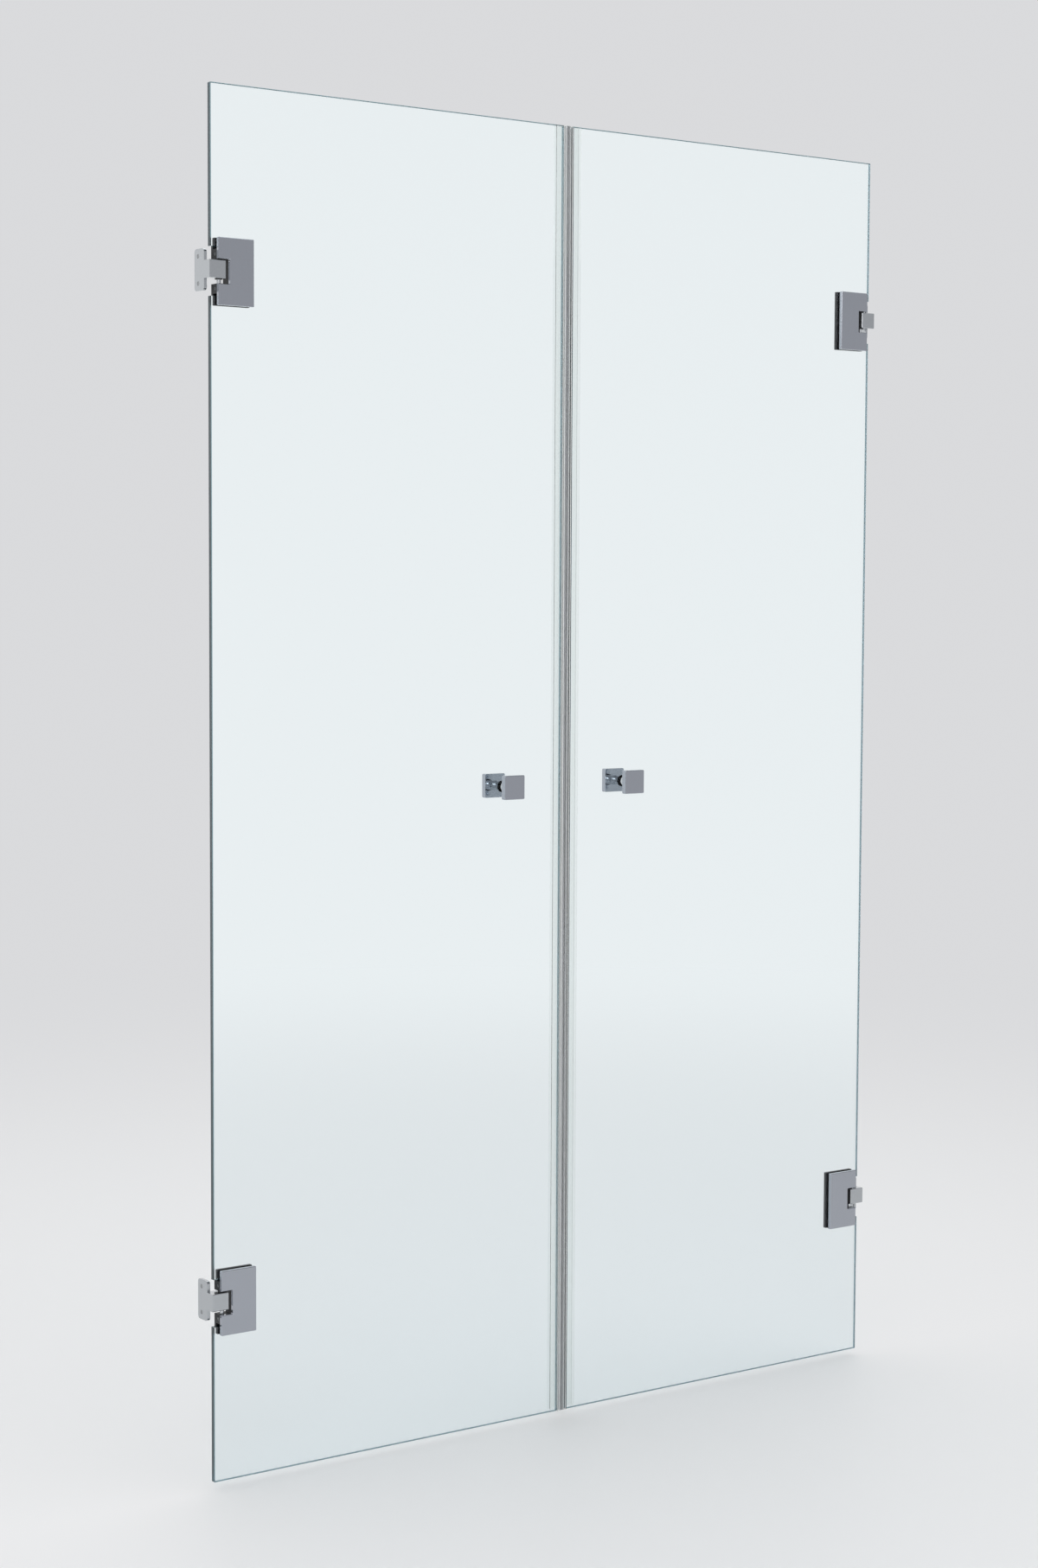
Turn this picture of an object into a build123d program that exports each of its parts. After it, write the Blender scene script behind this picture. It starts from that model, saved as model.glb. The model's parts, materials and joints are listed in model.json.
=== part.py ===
"""Double swing door for a shower niche: two clear glass leaves, four glass-to-wall hinges.

Millimetres. +X runs along the doorway to the right, +Y into the shower, +Z up.
The origin is the middle of the doorway, in the middle of the glass, at the glass's bottom edge.
Everything is built on the right-hand side and mirrored for the left leaf.
"""
from build123d import *
import math
import os

# Doorway and glass
opening_width = 1204.0
wall_gap = 5.5
meeting_gap = 17.0
glass_height = 1900.0
glass_thickness = 8.0
glass_arris = 0.8

# Hinge places on the leaf
hinge_from_bottom = 250.0
hinge_from_top = 249.0
pivot_from_wall = 20.0

# Clamp plates, one each side of the glass
plate_width = 55.0
plate_height = 90.0
plate_thickness = 5.0
plate_bevel = 0.8
plate_corner = 1.0
plate_edge_past_pivot = 6.0
notch_past_pivot = 12.0
notch_height = 33.0
notch_corner = 1.2

# Gaskets between plates and glass
gasket_thickness = 1.5
gasket_inset = 0.4

# Forked body behind the outer plate, and the cut-out in the glass round it
arm_height = 13.0
body_length = 24.0
body_corner = 2.0
body_to_plate_clearance = 0.2
cutout_to_body_height = 3.5
cutout_to_body_side = 2.5
cutout_corner = 8.0

# Knuckle and wall flange, one casting
knuckle_past_pivot = 5.5
knuckle_height = 24.0
knuckle_bevel = 0.8
top_gap = 2.0
flange_thickness = 5.0
flange_height = 56.0
flange_corner = 5.0
flange_start = 4.5
flange_end = 30.0
flange_bevel = 0.8
web_radius = 4.0
wall_hole_diameter = 6.0
wall_hole_spacing = 36.0
wall_hole_from_flange_end = 10.0
wall_countersink_diameter = 11.4

# Pivot pin, its bushes and its washer
pin_diameter = 6.0
pin_end_recess = 2.0
pin_chamfer = 0.5
pin_seat_clearance = 0.05
bush_running_clearance = 0.05
bush_wall = 1.0
bush_length = 8.0
bush_seat_clearance = 0.02
bush_flange_diameter = 10.6
bush_flange_thickness = 1.0
washer_diameter = 11.0

# Screws
lock_screw_diameter = 4.0
lock_screw_recess = 0.2
lock_screw_tip_gap = 0.05
lock_socket_flats = 2.0
lock_socket_depth = 1.4
clamp_screw_diameter = 6.0
clamp_screw_length = 16.0
clamp_head_diameter = 11.2
clamp_socket_flats = 4.0
clamp_socket_depth = 2.2
clamp_screw_from_pivot = 12.0
clamp_hole_end_gap = 1.0
screw_clearance = 0.05
clamp_hole_clearance = 0.2
head_clearance = 0.1

# Knobs, back to back through one hole in each leaf
knob_height = 942.0
knob_from_free_edge = 102.0
knob_width = 35.0
knob_thickness = 9.0
knob_corner = 2.0
knob_face_round = 1.2
knob_back_round = 0.5
neck_length = 17.0
neck_end_diameter = 15.0
neck_waist_diameter = 12.4
knob_gasket_thickness = 1.0
knob_gasket_diameter = 17.0
stud_diameter = 6.0
stud_depth_in_head = 5.0
stud_end_gap = 0.5
stud_clearance = 0.1
glass_hole_diameter = 12.0
sleeve_clearance = 0.1

# Meeting seals: a clear profile that clips over each free edge and holds a magnet strip
seal_clearance = 0.5
seal_wall = 0.9
seal_leg_length = 13.5
seal_leg_bottom_gap = 5.0
seal_lip_radius = 0.65
seal_glass_clearance = 0.05
seal_corner = 0.8
magnet_width = 6.8
magnet_thickness = 2.7
magnet_cover = 0.6
magnet_clearance = 0.05
seal_chamber_corner = 0.6

# Worked out from the sizes above
half_opening = opening_width / 2
outer_edge = half_opening - wall_gap
free_edge = meeting_gap / 2
leaf_width = outer_edge - free_edge
half_glass = glass_thickness / 2
pivot_x = half_opening - pivot_from_wall
plate_outer_x = pivot_x + plate_edge_past_pivot
plate_inner_x = plate_outer_x - plate_width
clamp_face = half_glass + gasket_thickness
hinge_half_depth = clamp_face + plate_thickness
half_notch = notch_height / 2
body_inner_x = plate_outer_x - body_length
half_body = half_notch + arm_height
arm_middle = half_notch + arm_height / 2
cutout_inner_x = body_inner_x - cutout_to_body_side
half_cutout = half_body + cutout_to_body_height
knuckle_top = half_notch - top_gap
knuckle_bottom = knuckle_top - knuckle_height
knuckle_middle = (knuckle_top + knuckle_bottom) / 2
pin_radius = pin_diameter / 2
bush_bore_radius = pin_radius + bush_running_clearance
bush_radius = bush_bore_radius + bush_wall
hinge_heights = {"upper": glass_height - hinge_from_top, "lower": hinge_from_bottom}
knob_x = free_edge + knob_from_free_edge
knob_neck_start = half_glass + knob_gasket_thickness
knob_head_start = knob_neck_start + neck_length
stud_radius = stud_diameter / 2


def block(x_low, x_high, y_low, y_high, z_low, z_high):
    """A box between two corners."""
    size = (x_high - x_low, y_high - y_low, z_high - z_low)
    middle = ((x_low + x_high) / 2, (y_low + y_high) / 2, (z_low + z_high) / 2)
    return Pos(*middle) * Box(*size)


def rod_z(x, y, z_low, z_high, radius):
    """An upright round bar."""
    return Pos(x, y, (z_low + z_high) / 2) * Cylinder(radius, z_high - z_low)


def rod_y(x, z, y_low, y_high, radius):
    """A round bar from front to back."""
    return Pos(x, (y_low + y_high) / 2, z) * Rot(90, 0, 0) * Cylinder(radius, y_high - y_low)


def rod_x(y, z, x_low, x_high, radius):
    """A round bar along the doorway."""
    return Pos((x_low + x_high) / 2, y, z) * Rot(0, 90, 0) * Cylinder(radius, x_high - x_low)


def cone_y(x, z, y_low, y_high, radius_low, radius_high):
    """A cone from front to back, with its radius at each end."""
    shape = Cone(radius_low, radius_high, y_high - y_low)
    return Pos(x, (y_low + y_high) / 2, z) * Rot(-90, 0, 0) * shape


def cone_x(y, z, x_low, x_high, radius_low, radius_high):
    """A cone along the doorway, with its radius at each end."""
    shape = Cone(radius_low, radius_high, x_high - x_low)
    return Pos((x_low + x_high) / 2, y, z) * Rot(0, 90, 0) * shape


def hex_prism(flats, depth):
    """An upright hexagonal prism, for sockets."""
    return extrude(RegularPolygon(flats / 2, 6, major_radius=False), amount=depth / 2, both=True)


def slab(outline, y_low, y_high):
    """An outline drawn in X and Z, made solid between two depths."""
    return extrude(Plane.XZ.offset(-y_low) * outline, amount=y_low - y_high)


def cutout_outline():
    """The notch cut into the glass edge: round inside corners, open to the edge."""
    past_edge = cutout_corner * 2
    width = outer_edge + past_edge - cutout_inner_x
    outline = RectangleRounded(width, half_cutout * 2, cutout_corner)
    return Pos(cutout_inner_x + width / 2, 0) * outline


def glass_leaf():
    """One pane with polished edges, two hinge cut-outs and the knob hole."""
    pane = block(free_edge, outer_edge, -half_glass, half_glass, 0, glass_height)
    pane = chamfer(pane.edges(), glass_arris)
    for height in hinge_heights.values():
        pane -= Pos(0, 0, height) * slab(cutout_outline(), -half_glass, half_glass)
    return pane - rod_y(knob_x, knob_height, -half_glass, half_glass, glass_hole_diameter / 2)


def notch_outline():
    """The notch that the knuckle stands in, open to the wall side."""
    past_edge = 2 * notch_corner
    width = plate_edge_past_pivot + notch_past_pivot + past_edge
    outline = RectangleRounded(width, notch_height, notch_corner)
    return Pos(pivot_x - notch_past_pivot + width / 2, 0) * outline


def plate_outline(inset=0.0):
    """A clamp plate's face: a rectangle with the knuckle's notch in its wall side."""
    width = plate_width - 2 * inset
    height = plate_height - 2 * inset
    outline = RectangleRounded(width, height, plate_corner)
    return Pos((plate_inner_x + plate_outer_x) / 2, 0) * outline - notch_outline()


def forked_body():
    """The block between the plates, with an arm above and below the knuckle for the pin."""
    back = clamp_face - body_to_plate_clearance
    body = block(body_inner_x, plate_outer_x, -clamp_face, back, -half_body, half_body)
    inner_edges = body.edges().filter_by(Axis.Y).group_by(Axis.X)[0]
    return fillet(inner_edges, body_corner) - slab(notch_outline(), -clamp_face, back)


def outer_plate():
    """The front clamp plate, plain outside, with the forked body cast on its back."""
    plate = slab(plate_outline(), -hinge_half_depth, -clamp_face)
    plate = chamfer(plate.faces().sort_by(Axis.Y)[0].edges(), plate_bevel)
    plate += forked_body()
    for side in (1, -1):
        middle = side * arm_middle
        screw_end = hinge_half_depth - clamp_screw_length - clamp_hole_end_gap
        hole = clamp_screw_diameter / 2 + screw_clearance
        plate -= rod_y(pivot_x - clamp_screw_from_pivot, middle, screw_end, clamp_face, hole)
        lock_hole = lock_screw_diameter / 2 + screw_clearance
        plate -= rod_x(0, middle, pivot_x, plate_outer_x, lock_hole)
    return plate - rod_z(pivot_x, 0, -half_body, half_body, pin_radius + pin_seat_clearance)


def inner_plate():
    """The back clamp plate, with countersunk holes for the two clamp screws."""
    plate = slab(plate_outline(), clamp_face, hinge_half_depth)
    plate = chamfer(plate.faces().sort_by(Axis.Y)[-1].edges(), plate_bevel)
    x = pivot_x - clamp_screw_from_pivot
    hole = clamp_screw_diameter / 2 + clamp_hole_clearance
    head = clamp_head_diameter / 2 + head_clearance
    for side in (1, -1):
        z = side * arm_middle
        plate -= rod_y(x, z, clamp_face, hinge_half_depth, hole)
        plate -= cone_y(x, z, hinge_half_depth - (head - hole), hinge_half_depth, hole, head)
    return plate


def clamp_gasket(side):
    """A black gasket on one face of the glass: inner (1) or outer (-1)."""
    low, high = sorted((side * half_glass, side * clamp_face))
    return slab(plate_outline(gasket_inset) - cutout_outline(), low, high)


def clamp_screws():
    """Two countersunk socket screws from the back plate into the arms."""
    x = pivot_x - clamp_screw_from_pivot
    shank = clamp_screw_diameter / 2
    head = clamp_head_diameter / 2
    tip = hinge_half_depth - clamp_screw_length
    screws = []
    for side in (1, -1):
        z = side * arm_middle
        screw = rod_y(x, z, tip, hinge_half_depth, shank)
        screw += cone_y(x, z, hinge_half_depth - (head - shank), hinge_half_depth, shank, head)
        socket = Rot(90, 0, 0) * hex_prism(clamp_socket_flats, clamp_socket_depth * 2)
        screws.append(screw - Pos(x, hinge_half_depth, z) * socket)
    return Compound(screws)


def pivot_pin():
    """A plain pin from arm to arm, chamfered at both ends."""
    reach = half_body - pin_end_recess
    pin = rod_z(pivot_x, 0, -reach, reach, pin_radius)
    return chamfer(pin.edges().filter_by(GeomType.CIRCLE), pin_chamfer)


def pin_lock_screws():
    """Two grub screws in the wall-side edge that hold the pin in its arms."""
    start = pivot_x + pin_radius + lock_screw_tip_gap
    end = plate_outer_x - lock_screw_recess
    screws = []
    for side in (1, -1):
        z = side * arm_middle
        screw = rod_x(0, z, start, end, lock_screw_diameter / 2)
        socket = Rot(0, 90, 0) * hex_prism(lock_socket_flats, lock_socket_depth * 2)
        screws.append(screw - Pos(end, 0, z) * socket)
    return Compound(screws)


def wall_flange():
    """The part that screws to the wall, behind the glass so the front shows no plate."""
    depth = flange_end - flange_start
    inner_face = half_opening - flange_thickness
    outline = Plane.YZ * RectangleRounded(depth, flange_height, flange_corner)
    flange = extrude(outline, amount=flange_thickness)
    flange = chamfer(flange.faces().sort_by(Axis.X)[0].edges(), flange_bevel)
    return Pos(inner_face, flange_start + depth / 2, knuckle_middle) * flange


def wall_bracket():
    """Knuckle and flange in one piece, bored for the bushes."""
    knuckle_end = pivot_x - knuckle_past_pivot
    knuckle = block(
        knuckle_end, half_opening, -hinge_half_depth, hinge_half_depth, knuckle_bottom, knuckle_top
    )
    shown_edges = knuckle.faces().sort_by(Axis.X)[0].edges()
    shown_edges += knuckle.faces().sort_by(Axis.Y)[0].edges().filter_by(Axis.X)
    knuckle = chamfer(shown_edges, knuckle_bevel)
    bracket = knuckle + wall_flange()

    inner_face = half_opening - flange_thickness
    corner = (inner_face, hinge_half_depth)
    web = Polyline(
        (corner[0] - web_radius, corner[1]), corner, (corner[0], corner[1] + web_radius)
    )
    web += RadiusArc(
        (corner[0], corner[1] + web_radius), (corner[0] - web_radius, corner[1]), web_radius
    )
    bracket += Pos(0, 0, knuckle_bottom) * extrude(make_face(web), amount=knuckle_height)

    bracket -= rod_z(pivot_x, 0, knuckle_bottom, knuckle_top, bush_radius + bush_seat_clearance)
    y = flange_end - wall_hole_from_flange_end
    hole = wall_hole_diameter / 2
    head = wall_countersink_diameter / 2
    for side in (1, -1):
        z = knuckle_middle + side * wall_hole_spacing / 2
        bracket -= rod_x(y, z, inner_face, half_opening, hole)
        bracket -= cone_x(y, z, inner_face, inner_face + head - hole, head, hole)
    return bracket


def flanged_bush(side):
    """One bush with its flange on the knuckle's top (1) or bottom (-1) face."""
    face = knuckle_top if side > 0 else knuckle_bottom
    low, high = sorted((face - side * bush_length, face))
    flange_low, flange_high = sorted((face, face + side * bush_flange_thickness))
    bush = rod_z(pivot_x, 0, low, high, bush_radius)
    bush += rod_z(pivot_x, 0, flange_low, flange_high, bush_flange_diameter / 2)
    return bush - rod_z(pivot_x, 0, min(low, flange_low), max(high, flange_high), bush_bore_radius)


def hinge_bushes():
    """Both bushes of one knuckle."""
    return Compound([flanged_bush(1), flanged_bush(-1)])


def thrust_washer():
    """The washer that carries the leaf's weight on the upper bush's flange."""
    low = knuckle_top + bush_flange_thickness
    washer = rod_z(pivot_x, 0, low, half_notch, washer_diameter / 2)
    return washer - rod_z(pivot_x, 0, low, half_notch, bush_bore_radius)


def seal_profile():
    """The clear profile: a channel on the glass, a hollow chamber and a magnet pocket."""
    face = seal_clearance / 2
    seat = free_edge - seal_glass_clearance
    half_inside = half_glass + seal_glass_clearance
    half_outside = half_inside + seal_wall
    leg_end = free_edge + seal_leg_length
    pocket_depth = magnet_thickness + 2 * magnet_clearance
    half_pocket = magnet_width / 2 + magnet_clearance
    pocket_end = face + magnet_cover + pocket_depth
    half_nose = half_pocket + magnet_cover
    chamber_start = pocket_end + seal_wall
    chamber_end = seat - seal_wall

    nose_width = chamber_start - face
    nose = RectangleRounded(nose_width, 2 * half_nose, seal_corner)
    body = Pos(face + nose_width / 2, 0) * nose
    shoulder = Polygon(
        (chamber_start - seal_corner, -half_nose),
        (seat, -half_outside),
        (leg_end, -half_outside),
        (leg_end, half_outside),
        (seat, half_outside),
        (chamber_start - seal_corner, half_nose),
        align=None,
    )
    body += shoulder
    for side in (1, -1):
        body += Pos(leg_end, side * (half_inside + seal_lip_radius)) * Circle(seal_lip_radius)
    glass_slot = leg_end + 2 * seal_lip_radius - seat
    body -= Pos(seat + glass_slot / 2, 0) * Rectangle(glass_slot, 2 * half_inside)
    body -= Pos(pocket_end - pocket_depth / 2, 0) * Rectangle(pocket_depth, 2 * half_pocket)
    chamber = RectangleRounded(
        chamber_end - chamber_start, 2 * (half_nose - seal_wall), seal_chamber_corner
    )
    body -= Pos((chamber_start + chamber_end) / 2, 0) * chamber
    profile = extrude(body, amount=glass_height)

    past_lip = leg_end + 2 * seal_lip_radius
    past_leg = half_outside + seal_lip_radius
    return profile - block(free_edge, past_lip, -past_leg, past_leg, 0, seal_leg_bottom_gap)


def seal_magnet():
    """The magnet strip inside the profile's pocket."""
    start = seal_clearance / 2 + magnet_cover + magnet_clearance
    half_width = magnet_width / 2
    return block(start, start + magnet_thickness, -half_width, half_width, 0, glass_height)


def knob_head(side):
    """A square head with softened edges, on the inner (1) or outer (-1) side."""
    low, high = sorted((side * knob_head_start, side * (knob_head_start + knob_thickness)))
    half = knob_width / 2
    head = block(knob_x - half, knob_x + half, low, high, knob_height - half, knob_height + half)
    head = fillet(head.edges().filter_by(Axis.Y), knob_corner)
    faces = head.faces().sort_by(Axis.Y)
    shown_face = faces[-1] if side > 0 else faces[0]
    head = fillet(shown_face.edges(), knob_face_round)
    faces = head.faces().sort_by(Axis.Y)
    back_face = faces[0] if side > 0 else faces[-1]
    head = fillet(back_face.edges(), knob_back_round)
    depth = stud_depth_in_head + stud_end_gap
    low, high = sorted((side * knob_head_start, side * (knob_head_start + depth)))
    return head - rod_y(knob_x, knob_height, low, high, stud_radius + stud_clearance)


def knob_neck(side):
    """A turned neck between glass and head, drawn in at its waist."""
    end_radius = neck_end_diameter / 2
    waist_radius = neck_waist_diameter / 2
    bore = stud_radius + stud_clearance
    start = knob_neck_start
    end = knob_head_start
    waist = ThreePointArc((end_radius, start), (waist_radius, (start + end) / 2), (end_radius, end))
    outline = waist + Polyline((end_radius, end), (bore, end), (bore, start), (end_radius, start))
    neck = revolve(make_face(outline), Axis.Y)
    if side < 0:
        neck = mirror(neck, about=Plane.XZ)
    return Pos(knob_x, 0, knob_height) * neck


def knob_gaskets():
    """A soft washer on each face of the glass."""
    washers = []
    for side in (1, -1):
        low, high = sorted((side * half_glass, side * knob_neck_start))
        washer = rod_y(knob_x, knob_height, low, high, knob_gasket_diameter / 2)
        bore = stud_radius + stud_clearance
        washers.append(washer - rod_y(knob_x, knob_height, low, high, bore))
    return Compound(washers)


def knob_stud():
    """The threaded stud that draws both heads together."""
    reach = knob_head_start + stud_depth_in_head
    return rod_y(knob_x, knob_height, -reach, reach, stud_radius)


def knob_sleeve():
    """The plastic sleeve that keeps the stud off the glass."""
    outside = glass_hole_diameter / 2 - sleeve_clearance
    sleeve = rod_y(knob_x, knob_height, -half_glass, half_glass, outside)
    bore = stud_radius + stud_clearance
    return sleeve - rod_y(knob_x, knob_height, -half_glass, half_glass, bore)


def hinge_parts():
    """Every piece of one hinge, at height zero on the right-hand side."""
    return {
        "wall_bracket": wall_bracket(),
        "hinge_bushes": hinge_bushes(),
        "thrust_washer": thrust_washer(),
        "pivot_pin": pivot_pin(),
        "pin_lock_screws": pin_lock_screws(),
        "outer_plate": outer_plate(),
        "inner_plate": inner_plate(),
        "outer_gasket": clamp_gasket(-1),
        "inner_gasket": clamp_gasket(1),
        "clamp_screws": clamp_screws(),
    }


def leaf_parts():
    """Glass, meeting seal and knob pair of the right-hand leaf."""
    return {
        "glass": glass_leaf(),
        "seal_profile": seal_profile(),
        "seal_magnet": seal_magnet(),
        "knob_outer_head": knob_head(-1),
        "knob_outer_neck": knob_neck(-1),
        "knob_inner_head": knob_head(1),
        "knob_inner_neck": knob_neck(1),
        "knob_gaskets": knob_gaskets(),
        "knob_stud": knob_stud(),
        "knob_sleeve": knob_sleeve(),
    }


def both_leaves():
    """All nodes by name, with the left leaf mirrored from the right."""
    right = dict(leaf_parts())
    for place, height in hinge_heights.items():
        for name, shape in hinge_parts().items():
            right[f"{place}_{name}"] = Pos(0, 0, height) * shape
    nodes = {}
    for name, shape in right.items():
        nodes[f"right_{name}"] = shape
        nodes[f"left_{name}"] = mirror(shape, about=Plane.YZ)
    return nodes


os.makedirs("parts", exist_ok=True)
for node, shape in both_leaves().items():
    export_step(shape, f"parts/{node}.step")

leaf_mass = leaf_width * glass_height * glass_thickness * 2.5e-6
print(f"leaf {leaf_width:.1f} wide, glass about {leaf_mass:.1f} kg")
print(f"pivot at x {pivot_x:.1f}, notch corner clearance "
      f"{notch_past_pivot - math.hypot(knuckle_past_pivot, hinge_half_depth - knuckle_bevel):.2f}")
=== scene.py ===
"""Looks of the double shower door: clear glass, steel fittings, wall screws, a pale studio and its camera."""
import json
import math

import bmesh
import bpy
from bpy.props import FloatProperty, FloatVectorProperty, PointerProperty
from mathutils import Matrix, Vector


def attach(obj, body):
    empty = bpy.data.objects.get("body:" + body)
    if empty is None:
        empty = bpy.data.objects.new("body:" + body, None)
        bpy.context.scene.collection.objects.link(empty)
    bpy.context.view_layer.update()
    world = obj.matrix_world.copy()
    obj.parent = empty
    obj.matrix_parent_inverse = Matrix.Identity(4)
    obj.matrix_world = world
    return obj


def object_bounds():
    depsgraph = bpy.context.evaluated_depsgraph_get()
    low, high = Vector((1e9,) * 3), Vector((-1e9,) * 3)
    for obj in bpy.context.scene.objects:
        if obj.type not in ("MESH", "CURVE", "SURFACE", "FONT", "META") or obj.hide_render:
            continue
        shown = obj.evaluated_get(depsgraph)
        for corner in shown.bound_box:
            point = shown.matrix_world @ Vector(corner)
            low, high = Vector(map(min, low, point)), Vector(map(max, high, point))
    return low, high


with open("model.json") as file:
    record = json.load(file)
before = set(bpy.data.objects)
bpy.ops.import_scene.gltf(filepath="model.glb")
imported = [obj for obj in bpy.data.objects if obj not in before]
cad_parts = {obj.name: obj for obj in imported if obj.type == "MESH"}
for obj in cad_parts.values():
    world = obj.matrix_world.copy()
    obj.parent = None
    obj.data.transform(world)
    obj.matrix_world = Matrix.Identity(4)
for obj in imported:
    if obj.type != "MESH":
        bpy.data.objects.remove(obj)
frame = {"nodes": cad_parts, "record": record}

cad_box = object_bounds()

bl_info = {
    "name": "Double Shower Door",
    "version": (1, 0, 0),
    "blender": (4, 5, 0),
    "location": "3D View > Sidebar > Shower Door",
    "description": "Dresses a frameless double shower door and sets up a plain studio round it",
    "category": "Object",
}

PANEL_TAB = "Shower Door"

# Sockets of the Mix node, which come in one set for values and one for colours
MIX_AMOUNT = 0
MIX_VALUES = (2, 3)
MIX_VALUE_RESULT = 0
MIX_COLOURS = (6, 7)
MIX_COLOUR_RESULT = 2

# Index of refraction of the glass and of the seals' plastic
GLASS_IOR = 1.52
SEAL_IOR = 1.5

# Studio, in metres: places and widths of the lamps, and the floor's radius. The floor fades into the
# room's colour between the last two distances.
KEY_LAMP_PLACE = (-3.2, -3.6, 3.4)
KEY_LAMP_WIDTH = 2.4
TOP_LAMP_PLACE = (0.4, 1.0, 3.8)
TOP_LAMP_WIDTH = 2.6
FLOOR_RADIUS = 40.0
FLOOR_PLAIN_TO = 1.0
FLOOR_GONE_BY = 5.0

# Width of the camera's sensor, in millimetres
SENSOR_WIDTH = 36.0


# Settings

class GlassSettings(bpy.types.PropertyGroup):
    """Colours and finish of the glass and of the clear seals."""

    tint: FloatVectorProperty(
        name="Tint",
        description="Colour that white takes on through one pane, seen straight on",
        subtype="COLOR", size=3, min=0.0, max=1.0, default=(0.93, 0.972, 0.985),
    )
    depth_colour: FloatVectorProperty(
        name="Depth Colour",
        description="Colour that light keeps on a long way through the glass, as at its edges",
        subtype="COLOR", size=3, min=0.0, max=1.0, default=(0.34, 0.66, 0.68),
    )
    depth_density: FloatProperty(
        name="Depth Density",
        description="How fast the depth colour builds up, per metre of glass",
        min=0.0, max=60.0, default=4.0,
    )
    edge_colour: FloatVectorProperty(
        name="Edge Colour",
        description="Colour of the glass at the narrow faces round a pane",
        subtype="COLOR", size=3, min=0.0, max=1.0, default=(0.66, 0.84, 0.82),
    )
    edge_roughness: FloatProperty(
        name="Edge Roughness",
        description="Roughness of the ground narrow faces round a pane",
        subtype="FACTOR", min=0.0, max=1.0, default=0.42,
    )
    edge_tint: FloatVectorProperty(
        name="Edge Tint",
        description="Colour that the narrow faces round a pane give to what shows through them",
        subtype="COLOR", size=3, min=0.0, max=1.0, default=(0.38, 0.48, 0.53),
    )
    seal_tint: FloatVectorProperty(
        name="Seal Tint",
        description="Colour of the clear plastic seals",
        subtype="COLOR", size=3, min=0.0, max=1.0, default=(0.955, 0.967, 0.958),
    )


class SteelSettings(bpy.types.PropertyGroup):
    """Colours and grain of the metal fittings, and the painted shade inside the hinges."""

    satin: FloatVectorProperty(
        name="Satin Steel",
        description="Colour of the clamp plates and knob heads",
        subtype="COLOR", size=3, min=0.0, max=1.0, default=(0.43, 0.45, 0.495),
    )
    cast: FloatVectorProperty(
        name="Bracket Steel",
        description="Colour of the wall brackets",
        subtype="COLOR", size=3, min=0.0, max=1.0, default=(0.50, 0.52, 0.54),
    )
    polished: FloatVectorProperty(
        name="Polished Steel",
        description="Colour of the knob necks and hinge pins",
        subtype="COLOR", size=3, min=0.0, max=1.0, default=(0.62, 0.64, 0.66),
    )
    grain_depth: FloatProperty(
        name="Grain Depth",
        description="Depth of the brushed lines",
        subtype="DISTANCE", unit="LENGTH", min=0.0, max=0.001, default=0.000012, precision=6,
    )
    # Painted shade: the near-black colour put on the hinge's body between its plates, standing for the shade
    # that falls inside the hinge.
    body_shade: FloatVectorProperty(
        name="Hinge Body",
        description="Colour of the blackened body between a hinge's plates",
        subtype="COLOR", size=3, min=0.0, max=1.0, default=(0.020, 0.021, 0.024),
    )
    # Reach of that painted shade to each side of the glass's middle.
    body_shade_reach: FloatProperty(
        name="Hinge Body Reach",
        description="How far the blackened body reaches to each side of the glass's middle",
        subtype="DISTANCE", unit="LENGTH", min=0.0, max=0.02, default=0.0054, precision=4,
    )
    # Painted shade: reach of the black put on the inner plates' narrow sides, standing for the shade there as
    # seen through the glass.
    inner_side_shade_reach: FloatProperty(
        name="Inner Plate Sides",
        description="How far the black on the inner plates' sides reaches from the glass's middle",
        subtype="DISTANCE", unit="LENGTH", min=0.0, max=0.02, default=0.0097, precision=4,
    )


class SoftSettings(bpy.types.PropertyGroup):
    """Colours of the gaskets, magnets, sleeves and bushes."""

    rubber: FloatVectorProperty(
        name="Gasket Rubber",
        description="Colour of the gaskets",
        subtype="COLOR", size=3, min=0.0, max=1.0, default=(0.010, 0.0105, 0.012),
    )
    magnet: FloatVectorProperty(
        name="Magnet Strip",
        description="Colour of the magnet strips inside the seals",
        subtype="COLOR", size=3, min=0.0, max=1.0, default=(0.37, 0.38, 0.405),
    )
    sleeve: FloatVectorProperty(
        name="White Plastic",
        description="Colour of the sleeves in the knob holes",
        subtype="COLOR", size=3, min=0.0, max=1.0, default=(0.80, 0.80, 0.78),
    )
    bush: FloatVectorProperty(
        name="Black Plastic",
        description="Colour of the hinges' bushes and washers",
        subtype="COLOR", size=3, min=0.0, max=1.0, default=(0.022, 0.023, 0.025),
    )


class ScrewSettings(bpy.types.PropertyGroup):
    """Sizes of the countersunk wall screws."""

    head_diameter: FloatProperty(
        name="Head Diameter",
        description="Widest diameter of a wall screw's head",
        subtype="DISTANCE", unit="LENGTH", min=0.004, max=0.02, default=0.0110, precision=4,
    )
    shank_diameter: FloatProperty(
        name="Shank Diameter",
        description="Diameter of a wall screw below its head",
        subtype="DISTANCE", unit="LENGTH", min=0.002, max=0.01, default=0.0056, precision=4,
    )
    recess_diameter: FloatProperty(
        name="Recess Diameter",
        description="Mean diameter of the six-lobed drive recess",
        subtype="DISTANCE", unit="LENGTH", min=0.001, max=0.01, default=0.0046, precision=4,
    )
    flange_thickness: FloatProperty(
        name="Flange Thickness",
        description="Thickness of the bracket's flange that the screws go through",
        subtype="DISTANCE", unit="LENGTH", min=0.001, max=0.02, default=0.005, precision=4,
    )


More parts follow.
